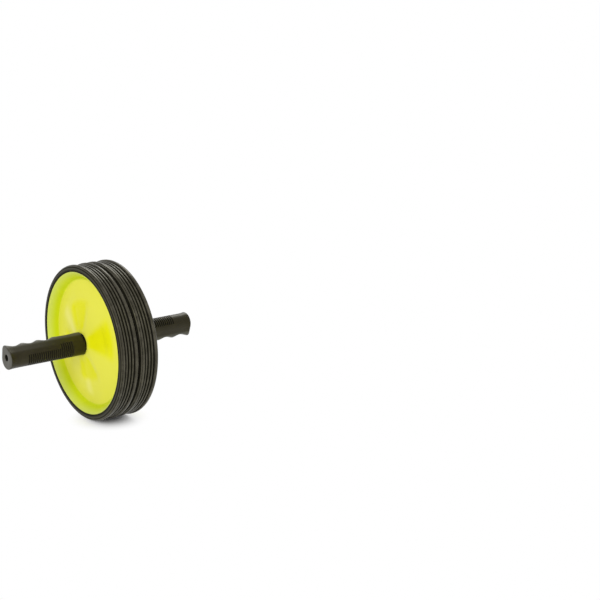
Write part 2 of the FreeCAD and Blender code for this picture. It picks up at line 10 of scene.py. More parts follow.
import bmesh
import bpy
import numpy as np
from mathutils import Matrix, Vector


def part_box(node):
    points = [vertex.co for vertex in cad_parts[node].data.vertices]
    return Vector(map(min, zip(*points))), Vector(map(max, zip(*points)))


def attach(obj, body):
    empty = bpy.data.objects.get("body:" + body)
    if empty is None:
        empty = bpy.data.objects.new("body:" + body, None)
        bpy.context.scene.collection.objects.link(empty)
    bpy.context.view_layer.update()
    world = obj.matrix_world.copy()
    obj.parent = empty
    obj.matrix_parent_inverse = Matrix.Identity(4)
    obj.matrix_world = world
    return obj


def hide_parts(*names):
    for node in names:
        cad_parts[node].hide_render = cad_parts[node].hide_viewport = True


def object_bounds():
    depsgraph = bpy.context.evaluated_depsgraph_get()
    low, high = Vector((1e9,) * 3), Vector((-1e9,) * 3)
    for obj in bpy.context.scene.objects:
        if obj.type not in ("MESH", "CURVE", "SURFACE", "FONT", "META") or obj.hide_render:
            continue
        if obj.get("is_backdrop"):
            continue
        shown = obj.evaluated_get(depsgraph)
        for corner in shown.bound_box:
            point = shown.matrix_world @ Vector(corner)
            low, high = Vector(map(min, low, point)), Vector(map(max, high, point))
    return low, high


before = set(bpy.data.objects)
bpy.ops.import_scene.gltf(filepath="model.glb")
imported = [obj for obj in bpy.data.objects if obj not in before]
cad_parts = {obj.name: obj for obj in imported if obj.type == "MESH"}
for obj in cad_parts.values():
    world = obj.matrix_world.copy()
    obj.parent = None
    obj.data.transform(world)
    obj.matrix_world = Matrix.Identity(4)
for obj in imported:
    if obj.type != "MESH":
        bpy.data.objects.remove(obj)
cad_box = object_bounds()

MM = 0.001
print("pieces in the frame:", len(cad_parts))
print("box in mm:", [round(c / MM, 1) for c in (*cad_box[0], *cad_box[1])])

# %% [markdown]
# ## The camera
# The camera comes first, because every later choice is judged through it. The azimuth, elevation and
# distance of the camera from the middle of the axle, and its pan and tilt, were fitted to the outlines of
# the rims and grips. The image is square, so the lens is the focal length in pixels times the sensor's
# width over the image's width.

# %% Place the camera
IMAGE_WIDTH = 600
FOCAL_PIXELS = 1783.74
CAMERA_AZIMUTH = math.radians(60.73)
CAMERA_ELEVATION = math.radians(16.56)
CAMERA_DISTANCE = 2.17265
CAMERA_TILT = math.radians(74.6196)
CAMERA_PAN = math.radians(54.020)
SENSOR_WIDTH = 36

towards_camera = Vector((
    math.sin(CAMERA_AZIMUTH) * math.cos(CAMERA_ELEVATION),
    -math.cos(CAMERA_AZIMUTH) * math.cos(CAMERA_ELEVATION),
    math.sin(CAMERA_ELEVATION),
))
bpy.ops.object.camera_add(location=towards_camera * CAMERA_DISTANCE, rotation=(CAMERA_TILT, 0, CAMERA_PAN))
camera = bpy.context.object
camera.data.sensor_width = SENSOR_WIDTH
camera.data.lens = FOCAL_PIXELS * SENSOR_WIDTH / IMAGE_WIDTH
bpy.context.scene.camera = camera
bpy.context.scene.view_settings.view_transform = "Standard"
print("lens in mm:", round(camera.data.lens, 2))

# %% [markdown]
# ## Sizes shared by the pieces
# Where a piece meets its neighbour, its size is read from the frame, so nothing has to be fitted by eye.
# Everything is modelled for the left side, towards +Y, and the right one is a turned copy. The wheels have
# slid a little along the axle, so their pieces are modelled from the middle between the wheels, which is
# the middle of the spacer, and moved along the axle at the end.

# %% Read the frame
spacer_low, spacer_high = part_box("centre_spacer")
PAIR_MIDDLE = Vector((0, (spacer_low.y + spacer_high.y) / 2, 0))


def wheel_box(node):
    """Lowest and highest corner of a node, measured from the middle between the wheels."""
    return [corner - PAIR_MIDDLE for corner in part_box(node)]


tyre_low, tyre_high = wheel_box("left_tyre")
hub_low, hub_high = wheel_box("left_hub")
cover_low, cover_high = wheel_box("left_hub_cover")
bush_high = wheel_box("left_outer_bush")[1]
grip_low, grip_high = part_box("left_grip")
axle_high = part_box("axle_tube")[1]

TYRE_RADIUS = tyre_high.z
TYRE_MIDDLE = (tyre_low.y + tyre_high.y) / 2
RIM_RADIUS = hub_high.z
PUSH_FIT = 0.05 * MM
print("tyre radius", round(TYRE_RADIUS / MM, 2), "rim radius", round(RIM_RADIUS / MM, 2),
      "pair shifted by", round(PAIR_MIDDLE.y / MM, 2))

# %% [markdown]
# ## Tools for selecting and turning
# Round pieces start as a flat section in the half plane beside the axle, x for the radius and y along the
# axle, and are then spun round it. Rounding the corners of a flat section is quick and exact, where
# bevelling a finished ring is neither. Selections are made in code, by where a vertex, edge or face lies.

# %% Selecting
SAME_PLACE = 0.002 * MM


def pick(piece, test, kind="VERT"):
    """Selects the vertices, edges or faces whose middle passes the test, and returns how many."""
    bpy.ops.mesh.select_mode(type=kind)
    bpy.ops.mesh.select_all(action="DESELECT")
    mesh = bmesh.from_edit_mesh(piece.data)
    members = {"VERT": mesh.verts, "EDGE": mesh.edges, "FACE": mesh.faces}[kind]
    picked = 0
    for member in members:
        if kind == "VERT":
            middle = member.co
        else:
            middle = sum((vertex.co for vertex in member.verts), Vector()) / len(member.verts)
        if test(middle):
            member.select_set(True)
            picked += 1
    mesh.select_flush_mode()
    bmesh.update_edit_mesh(piece.data)
    return picked


def near(corner):
    """A test for the vertex at a radius and a place of the flat section."""
    return lambda middle: abs(middle.x - corner[0]) + abs(middle.y - corner[1]) < SAME_PLACE


def round_corner(piece, corner, offset, segments=4):
    """Rounds one corner of the flat section, from an offset along each of its edges."""
    pick(piece, near(corner))
    bpy.ops.mesh.bevel(offset=offset, segments=segments, affect="VERTICES")


# %% Drawing and spinning a section
def new_plane(name):
    """A plane of unit size at the origin, open in edit mode."""
    bpy.ops.object.select_all(action="DESELECT")
    bpy.ops.mesh.primitive_plane_add(size=1)
    piece = bpy.context.object
    piece.name = piece.data.name = name
    bpy.ops.object.mode_set(mode="EDIT")
    return piece


def new_point(name, place):
    """A piece of one vertex: a plane whose corners are merged and put in place."""
    piece = new_plane(name)
    bpy.ops.mesh.merge(type="CENTER")
    bpy.ops.transform.translate(value=place)
    return piece


def draw_section(name, corners):
    """A flat section drawn corner by corner, by extruding one vertex."""
    piece = new_point(name, (*corners[0], 0))
    for (radius, place), (next_radius, next_place) in zip(corners, corners[1:]):
        step = (next_radius - radius, next_place - place, 0)
        bpy.ops.mesh.extrude_region_move(TRANSFORM_OT_translate={"value": step})
    bpy.ops.mesh.select_all(action="SELECT")
    bpy.ops.mesh.edge_face_add()
    return piece


def close_seams():
    """Merges doubles and turns all faces outwards."""
    bpy.ops.mesh.select_all(action="SELECT")
    bpy.ops.mesh.remove_doubles(threshold=SAME_PLACE / 2)
    bpy.ops.mesh.normals_make_consistent(inside=False)


def spin_section(piece, steps):
    """Spins the outline of the section once round the axle and closes the seam."""
    bpy.ops.mesh.select_mode(type="VERT")
    bpy.ops.mesh.select_all(action="SELECT")
    bpy.ops.mesh.delete(type="ONLY_FACE")
    bpy.ops.mesh.select_all(action="SELECT")
    bpy.ops.mesh.spin(steps=steps, angle=2 * math.pi, center=(0, 0, 0), axis=(0, 1, 0))
    close_seams()


# %% Finishing a piece
SMOOTH_ANGLE = math.radians(35)
TURNS = {  # which way each piece points at rest, from +X towards +Z
    "right_tyre": 16, "right_hub": 16, "right_grip": -64,
    "left_tyre": 40, "left_hub": 40, "left_grip": 105,
}


def close_mesh(piece):
    """Leaves edit mode with smooth shading and reports the mesh."""
    bpy.ops.object.mode_set(mode="OBJECT")
    bpy.ops.object.shade_smooth_by_angle(angle=SMOOTH_ANGLE)
    mesh = bmesh.new()
    mesh.from_mesh(piece.data)
    open_edges = sum(not edge.is_manifold for edge in mesh.edges)
    print(piece.name, "faces:", len(mesh.faces), "open edges:", open_edges, "volume in cm3:",
          round(mesh.calc_volume() / MM**3 / 1000, 2))
    mesh.free()


def stand(piece, side, kind):
    """Turns a piece to its side of the roller and bakes its place into its mesh."""
    half_turn = math.pi if side == "right" else 0
    points_at = math.radians(TURNS[f"{side}_{kind}"])
    spin = points_at - half_turn if side == "right" else -points_at
    piece.rotation_euler = (0, spin, half_turn)
    if kind != "grip":
        piece.location = PAIR_MIDDLE
    bpy.ops.object.select_all(action="DESELECT")
    piece.select_set(True)
    bpy.context.view_layer.objects.active = piece
    bpy.ops.object.transform_apply(location=True, rotation=True, scale=True)


def copy_for_other_side(piece, name):
    """A second copy of a finished piece, with a mesh of its own."""
    bpy.ops.object.select_all(action="DESELECT")
    piece.select_set(True)
    bpy.context.view_layer.objects.active = piece
    bpy.ops.object.duplicate(linked=False)
    twin = bpy.context.object
    twin.name = twin.data.name = name
    return twin


# %% [markdown]
# ## The tyres
# A tyre is a moulded rubber ring: two tall ribs with round shoulders, three lower ribs between them, a fine
# notch round each shoulder, and a key on the inside that sits in the rim's groove. It could be a torus with
# rings cut into it, but the ribs are easier to raise from a flat section: a plane is bisected at the foot
# of each rib, the strips are extruded and narrowed, the corners are rounded, and the outline is spun.

# %% Tyre section
TREAD_DEPTH = 3.0 * MM
LOW_RIB_DROP = 1.4 * MM
RIB_SPACING = 4.1 * MM
RIB_FOOT = 2.9 * MM
RIB_TOP = 1.9 * MM
TREAD_FLOOR = TYRE_RADIUS - TREAD_DEPTH
LOW_RIBS = (-1, 0, 1)
LAST_RIB = 2


def cut_section(places):
    """Cuts the flat section across at some places along the axle."""
    for place in places:
        bpy.ops.mesh.select_all(action="SELECT")
        bpy.ops.mesh.bisect(plane_co=(0, place, 0), plane_no=(0, 1, 0))


def raise_strip(piece, radius, foot, height, top):
    """Extrudes the edge of the section that lies at a radius from a low to a high place."""
    foot_middle, top_middle = sum(foot) / 2, sum(top) / 2
    pick(piece, near((radius, foot_middle)), "EDGE")
    raised = (height, top_middle - foot_middle, 0)
    bpy.ops.mesh.extrude_edges_move(TRANSFORM_OT_translate={"value": raised})
    narrow = (top[1] - top[0]) / (foot[1] - foot[0])
    bpy.ops.transform.resize(value=(1, narrow, 1), center_override=(0, top_middle, 0))


def about(place, width):
    """Low and high end of a width about a place."""
    return place - width / 2, place + width / 2


def merge_faces():
    """Makes the flat section one face again."""
    bpy.ops.mesh.select_mode(type="FACE")
    bpy.ops.mesh.select_all(action="SELECT")
    bpy.ops.mesh.dissolve_faces()


bore = RIM_RADIUS + PUSH_FIT
tyre_side = (tyre_high.y - tyre_low.y) / 2
shoulder_foot = LAST_RIB * RIB_SPACING - RIB_FOOT / 2
shoulder_inside = LAST_RIB * RIB_SPACING - RIB_TOP / 2
low_ribs = [TYRE_MIDDLE + rib * RIB_SPACING for rib in LOW_RIBS]
low_rise = TREAD_DEPTH - LOW_RIB_DROP

tyre = new_plane("left_tyre_moulding")
bpy.ops.transform.resize(value=(TREAD_FLOOR - bore, 2 * tyre_side, 1))
bpy.ops.transform.translate(value=((TREAD_FLOOR + bore) / 2, TYRE_MIDDLE, 0))
cut_section([foot for place in low_ribs for foot in about(place, RIB_FOOT)])
cut_section(about(TYRE_MIDDLE, 2 * shoulder_foot))
for place in low_ribs:
    raise_strip(tyre, TREAD_FLOOR, about(place, RIB_FOOT), low_rise, about(place, RIB_TOP))
for way in (-1, 1):
    foot = sorted(TYRE_MIDDLE + way * place for place in (shoulder_foot, tyre_side))
    top = sorted(TYRE_MIDDLE + way * place for place in (shoulder_inside, tyre_side))
    raise_strip(tyre, TREAD_FLOOR, foot, TREAD_DEPTH, top)
merge_faces()
print("ribs at mm:", [round(place / MM, 1) for place in low_ribs])

# %% Tyre shoulders and key
SHOULDER_ROUND = 4.1 * MM
SHOULDER_STEPS = 12
RIB_ROUND = 0.7 * MM
FOOT_ROUND = 0.3 * MM
FOOT_STEPS = 2
KEY_WIDTH = 6.0 * MM
KEY_DEPTH = 1.35 * MM

for way in (-1, 1):
    pick(tyre, near((TREAD_FLOOR, TYRE_MIDDLE + way * tyre_side)))
    bpy.ops.mesh.dissolve_verts()
    round_corner(tyre, (TYRE_RADIUS, TYRE_MIDDLE + way * tyre_side), SHOULDER_ROUND, SHOULDER_STEPS)
    round_corner(tyre, (TYRE_RADIUS, TYRE_MIDDLE + way * shoulder_inside), RIB_ROUND)
    round_corner(tyre, (TREAD_FLOOR, TYRE_MIDDLE + way * shoulder_foot), FOOT_ROUND, FOOT_STEPS)
    for place in low_ribs:
        round_corner(tyre, (TYRE_RADIUS - LOW_RIB_DROP, place + way * RIB_TOP / 2), RIB_ROUND)
        round_corner(tyre, (TREAD_FLOOR, place + way * RIB_FOOT / 2), FOOT_ROUND, FOOT_STEPS)
key = about(TYRE_MIDDLE, KEY_WIDTH)
cut_section(key)
raise_strip(tyre, bore, key, -KEY_DEPTH, key)
merge_faces()
print("key from", round(key[0] / MM, 2), "to", round(key[1] / MM, 2), "mm")

# %% Notch the shoulders and spin the tyre
NOTCH_STEP = 4
NOTCH_DEPTH = 0.9 * MM
TYRE_STEPS = 288

notch_turn = math.pi / 2 * NOTCH_STEP / SHOULDER_STEPS
middle_radius = TYRE_RADIUS - SHOULDER_ROUND
middle_place = tyre_side - SHOULDER_ROUND
for way in (-1, 1):
    notch = (middle_radius + SHOULDER_ROUND * math.cos(notch_turn),
             TYRE_MIDDLE + way * (middle_place + SHOULDER_ROUND * math.sin(notch_turn)))
    print("notched:", pick(tyre, lambda middle: math.dist(middle.xy, notch) < FOOT_ROUND / 2))
    inwards = (-math.cos(notch_turn) * NOTCH_DEPTH, -way * math.sin(notch_turn) * NOTCH_DEPTH, 0)
    bpy.ops.transform.translate(value=inwards)
spin_section(tyre, TYRE_STEPS)
close_mesh(tyre)

# %% [markdown]
# ## The hubs
# Each hub is one lime moulding: a rim with a thin lip, a sloping wall down into a dish, and a face that
# rises again to the crown in the middle like a very flat cone. Four shallow fans are pressed into that
# face. The section is drawn and spun, with the face in narrow rows. Boolean cutters could make the fans,
# but with hard edges, so they are pushed in with proportional editing, which leaves edges as soft as a
# moulding's.

# %% Hub section
RIM_INSET = 0.4 * MM
RIM_WALL = 3.4 * MM
LIP_WIDTH = 0.9 * MM
LIP_ROUND = 0.5 * MM
DISH_WALL_RUN = 9.9 * MM
DISH_DEPTH = 10.8 * MM
DISH_ROUND = 1.3 * MM
DISH_STEPS = 6
CROWN_RADIUS = 15.5 * MM
CROWN_ROUND = 0.8 * MM
BOSS_RADIUS = 15.0 * MM
BOSS_MOUTH = 12.6 * MM
WEB_THICKNESS = 2.5 * MM
COVER_FIT = 0.1 * MM
COVER_THICKNESS = 3.0 * MM
BUSH_FLANGE = 1.5 * MM
FACE_ROWS = 56
HUB_STEPS = 288
BUSH_SEAT = bush_high.z - BUSH_FLANGE + PUSH_FIT
FLANGE_SEAT = bush_high.y - BUSH_FLANGE
CROWN_FACE = hub_high.y
RIM_FRONT = tyre_high.y - RIM_INSET
DISH_RADIUS = RIM_RADIUS - DISH_WALL_RUN
DISH_FLOOR = RIM_FRONT - DISH_DEPTH
FACE_SLOPE = (CROWN_FACE - DISH_FLOOR) / (DISH_RADIUS - CROWN_RADIUS)


def face_place(radius):
    """Where the front of the dished face lies along the axle, at a radius."""
    return CROWN_FACE - (radius - CROWN_RADIUS) * FACE_SLOPE


lip_outside = (RIM_RADIUS, RIM_FRONT)
lip_inside = (RIM_RADIUS - LIP_WIDTH, RIM_FRONT)
dish_foot = (DISH_RADIUS, DISH_FLOOR)
crown_edge = (CROWN_RADIUS, CROWN_FACE)
rim_inner = RIM_RADIUS - RIM_WALL
cover_seat = (cover_high.z + COVER_FIT, cover_low.y + COVER_THICKNESS)
key_floor = RIM_RADIUS - KEY_DEPTH - PUSH_FIT
key_sides = (key[0] - PUSH_FIT, key[1] + PUSH_FIT)
hub = draw_section("left_hub_moulding", [
    (BUSH_SEAT, TYRE_MIDDLE),
    (BOSS_RADIUS, TYRE_MIDDLE),
    (BOSS_RADIUS, face_place(BOSS_RADIUS) - WEB_THICKNESS),
    (rim_inner, face_place(rim_inner) - WEB_THICKNESS),
    (rim_inner, cover_seat[1]),
    cover_seat,
    (cover_seat[0], hub_low.y),
    (RIM_RADIUS, hub_low.y),
    (RIM_RADIUS, key_sides[0]),
    (key_floor, key_sides[0]),
    (key_floor, key_sides[1]),
    (RIM_RADIUS, key_sides[1]),
    lip_outside,
    lip_inside,
    dish_foot,
    crown_edge,
    (BOSS_MOUTH, CROWN_FACE),
    (BOSS_MOUTH, FLANGE_SEAT),
    (BUSH_SEAT, FLANGE_SEAT),
])
round_corner(hub, lip_outside, LIP_ROUND)
round_corner(hub, lip_inside, LIP_ROUND / 2)
round_corner(hub, dish_foot, DISH_ROUND, DISH_STEPS)
round_corner(hub, crown_edge, CROWN_ROUND)
face_middle = (crown_edge[0] + CROWN_ROUND + dish_foot[0] - DISH_ROUND) / 2
pick(hub, lambda middle: abs(middle.x - face_middle) < DISH_ROUND
     and abs(middle.y - face_place(middle.x)) < SAME_PLACE, "EDGE")
bpy.ops.mesh.subdivide(number_cuts=FACE_ROWS)
spin_section(hub, HUB_STEPS)
print("slope of the face in degrees:", round(math.degrees(math.atan(FACE_SLOPE)), 2))

# %% Press the fans into the face
FAN_START = 25 * MM
FAN_END = 43 * MM
FAN_REACH = math.radians(15)
FAN_EDGE = 12.0 * MM
FAN_DEPTH = 1.4 * MM
FAN_COUNT = 4
fan_pitch = 2 * math.pi / FAN_COUNT


def in_fan(middle):
    """True on the front of the face, inside the floor of a fan. The first fan points along +X."""
    radius = math.hypot(middle.x, middle.z)
    turned = math.atan2(middle.z, middle.x)
    off_fan = abs((turned + fan_pitch / 2) % fan_pitch - fan_pitch / 2)
    on_face = abs(middle.y - face_place(radius)) < SAME_PLACE
    return on_face and FAN_START < radius < FAN_END and off_fan < FAN_REACH


print("vertices on the fans' floors:", pick(hub, in_fan))
bpy.ops.transform.translate(
    value=(0, -FAN_DEPTH, 0), use_proportional_edit=True, proportional_edit_falloff="SMOOTH",
    proportional_size=FAN_EDGE, use_proportional_connected=True,
)

# %% [markdown]
# Behind the face, plates like spokes stiffen the hub, and a post on each plate takes a screw of the cover.
# They could be extruded, but the back of the face has no edges where they stand. So a plate is a flat
# section given a thickness, a post is a cylinder, both are repeated round the axle, and a Boolean joins
# them to the hub. Another one drills the posts.

# %% Stiffeners and screw posts
SCREW_CIRCLE = 50.0 * MM
SCREW_COUNT = 6
POST_RADIUS = 4.5 * MM
POST_STEPS = 32
PILOT_RADIUS = 2.05 * MM
PILOT_FLOOR = 1.0 * MM
STIFFENER_THICKNESS = 2.0 * MM
STIFFENER_CLEARANCE = 0.5 * MM
ROOT_DEPTH = 0.5 * MM
OVERRUN = 1.0 * MM


def repeat_round(count):
    """Repeats what is selected round the axle, and leaves edit mode."""
    last_turn = 2 * math.pi * (count - 1) / count
    bpy.ops.mesh.spin(steps=count - 1, dupli=True, angle=last_turn, center=(0, 0, 0), axis=(0, 1, 0))
    bpy.ops.object.mode_set(mode="OBJECT")


def new_pins(radius, low, high):
    """A ring of round pins, one on each screw, between two places along the axle."""
    bpy.ops.object.select_all(action="DESELECT")
    bpy.ops.mesh.primitive_cylinder_add(vertices=POST_STEPS, radius=radius, depth=high - low)
    pins = bpy.context.object
    bpy.ops.object.mode_set(mode="EDIT")
    bpy.ops.transform.rotate(value=math.pi / 2, orient_axis="X", center_override=(0, 0, 0))
    bpy.ops.transform.translate(value=(SCREW_CIRCLE, (low + high) / 2, 0))
    repeat_round(SCREW_COUNT)
    return pins


def combine(piece, other, operation):
    """Joins another piece to a piece or cuts it away, and deletes the other one."""
    bpy.context.view_layer.objects.active = piece
    boolean = piece.modifiers.new("boolean", "BOOLEAN")
    boolean.operation = operation
    boolean.object = other
    bpy.ops.object.modifier_apply(modifier=boolean.name)
    bpy.ops.object.select_all(action="DESELECT")
    other.select_set(True)
    bpy.ops.object.delete()
    print(operation.lower(), "faces:", len(piece.data.polygons))


def face_root(radius):
    """A little way into the back of the face, at a radius."""
    return face_place(radius) - WEB_THICKNESS + ROOT_DEPTH


bpy.ops.object.mode_set(mode="OBJECT")
cover_top = cover_seat[1]
spoke_start = BOSS_RADIUS + STIFFENER_CLEARANCE
spoke_end = rim_inner + ROOT_DEPTH
stiffeners = draw_section("stiffeners", [
    (spoke_start, cover_top + PUSH_FIT),
    (spoke_end, cover_top + PUSH_FIT),
    (spoke_end, face_root(spoke_end)),
    (spoke_start, face_root(spoke_start)),
])
thicken = {"value": (0, 0, STIFFENER_THICKNESS)}
bpy.ops.mesh.extrude_region_move(TRANSFORM_OT_translate=thicken)
bpy.ops.mesh.select_all(action="SELECT")
bpy.ops.transform.translate(value=(0, 0, -STIFFENER_THICKNESS / 2))
bpy.ops.mesh.normals_make_consistent(inside=False)
repeat_round(SCREW_COUNT)
combine(hub, stiffeners, "UNION")
combine(hub, new_pins(POST_RADIUS, cover_top, face_place(SCREW_CIRCLE) - WEB_THICKNESS / 2), "UNION")
pilot_end = face_place(SCREW_CIRCLE + PILOT_RADIUS) - WEB_THICKNESS - PILOT_FLOOR
combine(hub, new_pins(PILOT_RADIUS, cover_top - OVERRUN, pilot_end), "DIFFERENCE")
close_mesh(hub)

# %% [markdown]
# The colour of the plastic is painted uneven. It is fullest in the fans, further out along one of them
# than along the others, and the face round them is painted paler, as a painted sheen. Two pale patches
# are painted highlights, one past the outer end of a fan and one between two fans. Both patterns are
# stored on the mesh as numbers, for the finish to read. They are given here in degrees and millimetres.

# %% Note the fans and the flow marks
FAN_COLOURS = ((0, 16, 62), (97, 21, 46), (180, 16, 50), (268, 18, 52))  # turn, half width, outer end
FAN_SIDE = 15
# Two pale patches of painted highlight:
PAINTED_HIGHLIGHTS = ((103, 12, 46, 64), (226, 15, 16, 60))  # turn, half width and both ends
FADE = 5


def rise(numbers, low, high):
    """0 below low, 1 above high and smooth between them, for an array of numbers."""
    share = np.clip((numbers - low) / (high - low), 0, 1)
    return share * share * (3 - 2 * share)


def note(piece, name, numbers):
    """Stores a number on each vertex, for the finish to read."""
    attribute = piece.data.attributes.new(name, "FLOAT", "POINT")
    attribute.data.foreach_set("value", numbers.astype(np.float32))
    print(piece.name, name, "on", int((numbers > 0).sum()), "points")


points = np.array([vertex.co for vertex in hub.data.vertices]) / MM
radius = np.hypot(points[:, 0], points[:, 2])
turned = np.degrees(np.arctan2(points[:, 2], points[:, 0]))


def patch(turn, narrow, wide, start, end):
    """1 inside a sector of the face, fading out at its sides and ends."""
    off = np.abs((turned - turn + 180) % 360 - 180)
    ends = rise(radius, start - FADE, start + FADE) * (1 - rise(radius, end - FADE, end + FADE))
    return (1 - rise(off, narrow, wide)) * ends


fans = [patch(turn, half, half + FAN_SIDE, CROWN_RADIUS / MM, end) for turn, half, end in FAN_COLOURS]
# Painted highlights on the face.
marks = [patch(turn, 0, half, start, end) for turn, half, start, end in PAINTED_HIGHLIGHTS]
note(hub, "fan", np.max(fans, axis=0))
note(hub, "painted_highlight", np.max(marks, axis=0))

# %% [markdown]
# ## The grips
# A grip is a soft sleeve that is round on the side of the palm and narrows to a crest on the side of the
# fingers. Along the crest it has three hollows and a long shallow rest, and on the palm a row of fine cross
# grooves, which reach further round near the wheel, where the thumb lies. Its outline is drawn by spinning
# one vertex round the palm and then round the crest, and is extruded along the axle in a row for each
# groove. The ends are capped, rounded and drawn in to round holes. A cylinder could be scaled to the same
# outline, but its flanks would bulge where a real grip's are flat.

# %% Grip outline
PALM_RADIUS = 11.6 * MM
PALM_OFFSET = 2.2 * MM
CREST_RADIUS = 6.0 * MM
CREST_OFFSET = 8.3 * MM
PALM_STEPS = 104
CREST_STEPS = 44
FLANK_CUTS = 7
GRIP_START = grip_low.y
GRIP_END = grip_high.y
CREST_REACH = CREST_OFFSET + CREST_RADIUS

lean = math.asin((PALM_RADIUS - CREST_RADIUS) / (PALM_OFFSET + CREST_OFFSET))
palm_end = PALM_OFFSET - PALM_RADIUS * math.sin(lean)
crest_end = -CREST_OFFSET - CREST_RADIUS * math.sin(lean)
palm_side = PALM_RADIUS * math.cos(lean)
crest_side = CREST_RADIUS * math.cos(lean)

grip = new_point("left_grip_moulding", (palm_end, GRIP_START, palm_side))
bpy.ops.mesh.spin(
    steps=PALM_STEPS, angle=-(math.pi + 2 * lean), center=(PALM_OFFSET, GRIP_START, 0), axis=(0, 1, 0),
)
flank = (crest_end - palm_end, 0, palm_side - crest_side)
bpy.ops.mesh.extrude_region_move(TRANSFORM_OT_translate={"value": flank})
bpy.ops.mesh.spin(
    steps=CREST_STEPS, angle=-(math.pi - 2 * lean), center=(-CREST_OFFSET, GRIP_START, 0), axis=(0, 1, 0),
)
pick(grip, lambda middle: abs(middle.z) > crest_side - SAME_PLACE
     and (abs(middle.x - crest_end) + abs(middle.z - crest_side) < SAME_PLACE
          or abs(middle.x - palm_end) + abs(middle.z - palm_side) < SAME_PLACE))
bpy.ops.mesh.edge_face_add()
flank_middle = (palm_end + crest_end) / 2
pick(grip, lambda middle: abs(middle.x - flank_middle) < SAME_PLACE, "EDGE")
bpy.ops.mesh.subdivide(number_cuts=FLANK_CUTS)
reach = [vertex.co.x / MM for vertex in bmesh.from_edit_mesh(grip.data).verts]
print("outline:", len(reach), "points, reach from", round(min(reach), 2), "to", round(max(reach), 2))

# %% Extrude the sleeve row by row
GROOVE_MARGIN = 23.9 * MM
GROOVE_PITCH = 2.75 * MM
GROOVE_WIDTH = 1.3 * MM
GROOVE_COUNT = 16
THUMB_GROOVE_COUNT = 6
ROW = 1.4 * MM
END_ROW = 3.0 * MM

first_groove = GRIP_END - GROOVE_MARGIN
grooves = [first_groove - index * GROOVE_PITCH for index in range(GROOVE_COUNT + THUMB_GROOVE_COUNT)]
groove_rows = sorted(edge for place in grooves for edge in about(place, GROOVE_WIDTH))


def spread(low, high):
    """Even places from one to another, without the last, about a row apart."""
    count = round((high - low) / ROW)
    return [low + (high - low) * index / count for index in range(count)]


rows = [
    GRIP_START,
    *spread(GRIP_START + END_ROW, groove_rows[0]),
    *groove_rows,
    *spread(groove_rows[-1], GRIP_END - END_ROW)[1:],
    GRIP_END - END_ROW,
    GRIP_END,
]
bpy.ops.mesh.select_all(action="SELECT")
for place, next_place in zip(rows, rows[1:]):
    bpy.ops.mesh.extrude_edges_move(TRANSFORM_OT_translate={"value": (0, next_place - place, 0)})
print("rows along the grip:", len(rows))

# %% Flare the outer end
FLARE_LENGTH = 9.0 * MM
FLARE_WIDE = 0.15
FLARE_HIGH = 0.05

flared_rows = [place for place in rows if place > GRIP_END - FLARE_LENGTH]
for place in flared_rows:
    share = 1 + (place - GRIP_END) / FLARE_LENGTH
    pick(grip, lambda middle: abs(middle.y - place) < SAME_PLACE)
    flare = (1 + FLARE_HIGH * share**2, 1, 1 + FLARE_WIDE * share**2)
    bpy.ops.transform.resize(value=flare, center_override=(0, place, 0))
print("flared rows:", len(flared_rows))

# %% Bore, hole in the end, and round edges
VENT_RADIUS = 4.0 * MM
VENT_ROUND = 0.4 * MM
VENT_STEPS = 3
GRIP_INNER_ROUND = 0.6 * MM
GRIP_END_ROUND = 0.9 * MM
END_STEPS = 5
AXLE_PUSH = axle_high.z + PUSH_FIT


def at_place(place, reach=math.inf):
    """A test for what lies at a place along the axle, within a distance from the axle."""
    return lambda middle: abs(middle.y - place) < SAME_PLACE and math.hypot(middle.x, middle.z) < reach


def make_end(place, offset, radius):
    """Rounds the edge of a capped end, and draws the cap's outline in to a round hole."""
    pick(grip, at_place(place))
    bpy.ops.mesh.bevel(offset=offset, segments=END_STEPS, affect="EDGES")
    pick(grip, at_place(place), "FACE")
    bpy.ops.mesh.delete(type="ONLY_FACE")
    pick(grip, at_place(place))
    bpy.ops.mesh.extrude_edges_move()
    mesh = bmesh.from_edit_mesh(grip.data)
    for vertex in mesh.verts:
        if vertex.select:
            vertex.co.xz = vertex.co.xz.normalized() * radius
    bmesh.update_edit_mesh(grip.data)


for place in (GRIP_START, GRIP_END):
    pick(grip, at_place(place))
    bpy.ops.mesh.edge_face_add()
close_seams()
make_end(GRIP_START, GRIP_INNER_ROUND, AXLE_PUSH)
make_end(GRIP_END, GRIP_END_ROUND, VENT_RADIUS)
pick(grip, at_place(GRIP_START, AXLE_PUSH + SAME_PLACE))
bpy.ops.mesh.extrude_edges_move(TRANSFORM_OT_translate={"value": (0, axle_high.y - GRIP_START, 0)})
bpy.ops.mesh.extrude_edges_move()
narrow = VENT_RADIUS / AXLE_PUSH
bpy.ops.transform.resize(value=(narrow, 1, narrow), center_override=(0, axle_high.y, 0))
pick(grip, lambda middle: middle.y > axle_high.y - SAME_PLACE
     and math.hypot(middle.x, middle.z) < VENT_RADIUS + SAME_PLACE)
bpy.ops.mesh.bridge_edge_loops()
close_seams()
print("points round the hole:", pick(grip, at_place(GRIP_END, VENT_RADIUS + SAME_PLACE)))
bpy.ops.mesh.bevel(offset=VENT_ROUND, segments=VENT_STEPS, affect="EDGES")

# %% [markdown]
# The finger hollows could be cut with round bars, which would leave sharp edges. Here they are pushed into
# the crest row by row: what stands out past the finger's arc is pressed almost flat against it, and the
# crest is then smoothed, as fingers would leave it in clay.

# %% Push in the finger hollows
FINGER_MARGIN = 2.0 * MM
FINGER_PITCH = 20.5 * MM
FINGER_WIDTH = 19.0 * MM
FINGER_DEPTH = 2.4 * MM
FINGER_COUNT = 3
REST_LENGTH = 30.0 * MM
REST_DEPTH = 0.8 * MM
PRESSED = 0.2
SMOOTH_SHARE = 0.5
SMOOTH_PASSES = 3

